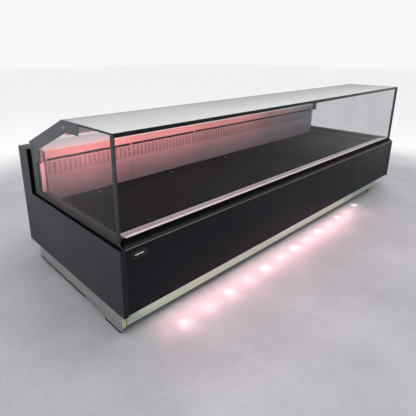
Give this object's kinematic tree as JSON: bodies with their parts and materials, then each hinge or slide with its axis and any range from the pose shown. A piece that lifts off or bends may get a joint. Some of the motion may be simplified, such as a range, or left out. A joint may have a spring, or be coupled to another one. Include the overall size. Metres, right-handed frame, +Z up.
{
  "type": "refrigerated deli case",
  "caption": "Long low refrigerated serve-over deli case with a square glass front, sloped open rear, insulated tub, lift-out deck trays, coil and fans, on levelling feet.",
  "frame": {"origin": "on the floor, under the middle of the case's outside box", "axes": "+X along the length towards the end with the refrigerant pipes, -Y towards the customers' front glass, +Z up"},
  "size_m": [3.125, 1.1, 0.973],
  "materials": {
    "end_paint": "satin dark slate",
    "front_paint": "satin near-black",
    "frame_paint": "satin slate",
    "base_paint": "satin black",
    "deck_paint": "matt black",
    "trim_metal": "satin",
    "black_rubber": "matt",
    "black_plastic": "matt",
    "clear_glass": "polished",
    "side_glass": "polished",
    "black_profile": "anodised",
    "white_profile": "satin",
    "lamp_diffuser": "frosted, lit",
    "pink_diffuser": "frosted, lit",
    "glow_lens": "frosted, lit",
    "foam": "matt",
    "stainless": "brushed",
    "grille_steel": "brushed",
    "kick_steel": "brushed",
    "leg_steel": "satin",
    "galvanised": "dull",
    "fin_aluminium": "dull",
    "copper": "dull",
    "valve_brass": "dull",
    "motor_plastic": "matt",
    "button_plastic": "gloss",
    "rocker_plastic": "gloss",
    "foot_plastic": "matt",
    "screw_steel": "satin"
  },
  "bodies": {
    "case": {"left_end_panel": "end_paint", "right_end_panel": "end_paint", "end_gaskets": "black_rubber", "front_panel": "front_paint", "front_edge_trim": "trim_metal", "front_ledge": "front_paint", "glass_channel": "black_plastic", "front_glass": "clear_glass", "top_glass": "clear_glass", "left_side_glass": "side_glass", "right_side_glass": "side_glass", "left_side_frame": "frame_paint", "right_side_frame": "frame_paint", "glass_edge_trims": "end_paint", "front_lamp_profile": "black_profile", "front_lamp_diffuser": "lamp_diffuser", "ridge_rail": "white_profile", "ridge_lamp_diffuser": "pink_diffuser", "outer_tub": "galvanised", "insulation": "foam", "inner_liner": "stainless", "rear_worktop": "stainless", "rear_grille": "grille_steel", "return_grille": "grille_steel", "deck_rails": "galvanised", "evaporator_fins": "fin_aluminium", "evaporator_tubes": "copper", "fan_plenum": "galvanised", "fan_motors": "motor_plastic", "suction_line": "copper", "liquid_line": "valve_brass", "drain_outlet": "black_plastic", "rear_panel": "frame_paint", "control_fascia": "black_plastic", "electrical_box": "galvanised", "base_frame": "base_paint", "leg_frames": "base_paint", "leg_plates": "leg_steel", "leg_rubber_edges": "black_rubber", "kick_plates": "kick_steel", "underglow_profile": "white_profile", "underglow_lenses": "glow_lens", "badge": "black_plastic", "screws": "screw_steel"},
    "deck_tray_1_body": {"deck_tray_1": "deck_paint"},
    "deck_tray_2_body": {"deck_tray_2": "deck_paint"},
    "deck_tray_3_body": {"deck_tray_3": "deck_paint"},
    "deck_tray_4_body": {"deck_tray_4": "deck_paint"},
    "deck_tray_5_body": {"deck_tray_5": "deck_paint"},
    "fan_rotor_1_body": {"fan_rotor_1": "motor_plastic"},
    "fan_rotor_2_body": {"fan_rotor_2": "motor_plastic"},
    "fan_rotor_3_body": {"fan_rotor_3": "motor_plastic"},
    "foot_left_front_body": {"foot_left_front": "foot_plastic"},
    "foot_left_rear_body": {"foot_left_rear": "foot_plastic"},
    "middle_feet_body": {"middle_feet": "foot_plastic"},
    "foot_right_front_body": {"foot_right_front": "foot_plastic"},
    "foot_right_rear_body": {"foot_right_rear": "foot_plastic"},
    "controller_button_up_body": {"controller_button_up": "button_plastic"},
    "controller_button_down_body": {"controller_button_down": "button_plastic"},
    "light_switch_rocker_body": {"light_switch_rocker": "rocker_plastic"}
  },
  "joints": [
    {"name": "deck_tray_1_lift", "type": "slide", "parent": "case", "child": "deck_tray_1_body", "axis": [0, 0, 1], "range_m": [0, 0.06]},
    {"name": "deck_tray_2_lift", "type": "slide", "parent": "case", "child": "deck_tray_2_body", "axis": [0, 0, 1], "range_m": [0, 0.06]},
    {"name": "deck_tray_3_lift", "type": "slide", "parent": "case", "child": "deck_tray_3_body", "axis": [0, 0, 1], "range_m": [0, 0.06]},
    {"name": "deck_tray_4_lift", "type": "slide", "parent": "case", "child": "deck_tray_4_body", "axis": [0, 0, 1], "range_m": [0, 0.06]},
    {"name": "deck_tray_5_lift", "type": "slide", "parent": "case", "child": "deck_tray_5_body", "axis": [0, 0, 1], "range_m": [0, 0.06]},
    {"name": "fan_1_spin", "type": "hinge", "parent": "case", "child": "fan_rotor_1_body", "pos_m": [-0.9, -0.13, 0.2845], "axis": [0, 1, 0], "continuous": true},
    {"name": "fan_2_spin", "type": "hinge", "parent": "case", "child": "fan_rotor_2_body", "pos_m": [0, -0.13, 0.2845], "axis": [0, 1, 0], "continuous": true},
    {"name": "fan_3_spin", "type": "hinge", "parent": "case", "child": "fan_rotor_3_body", "pos_m": [0.9, -0.13, 0.2845], "axis": [0, 1, 0], "continuous": true},
    {"name": "foot_left_front_level", "type": "slide", "parent": "case", "child": "foot_left_front_body", "axis": [0, 0, 1], "range_m": [0, 0.012]},
    {"name": "foot_left_rear_level", "type": "slide", "parent": "case", "child": "foot_left_rear_body", "axis": [0, 0, 1], "range_m": [0, 0.012]},
    {"name": "middle_feet_level", "type": "slide", "parent": "case", "child": "middle_feet_body", "axis": [0, 0, 1], "range_m": [0, 0.012]},
    {"name": "foot_right_front_level", "type": "slide", "parent": "case", "child": "foot_right_front_body", "axis": [0, 0, 1], "range_m": [0, 0.012]},
    {"name": "foot_right_rear_level", "type": "slide", "parent": "case", "child": "foot_right_rear_body", "axis": [0, 0, 1], "range_m": [0, 0.012]},
    {"name": "controller_button_up_press", "type": "slide", "parent": "case", "child": "controller_button_up_body", "axis": [0, -1, 0], "range_m": [0, 0.0012], "stiffness_N_per_m": 400, "springref_m": -0.0005},
    {"name": "controller_button_down_press", "type": "slide", "parent": "case", "child": "controller_button_down_body", "axis": [0, -1, 0], "range_m": [0, 0.0012], "stiffness_N_per_m": 400, "springref_m": -0.0005},
    {"name": "light_switch_rock", "type": "hinge", "parent": "case", "child": "light_switch_rocker_body", "pos_m": [1.1275, 0.541, 0.62], "axis": [1, 0, 0], "range_deg": [-10, 0]}
  ]
}
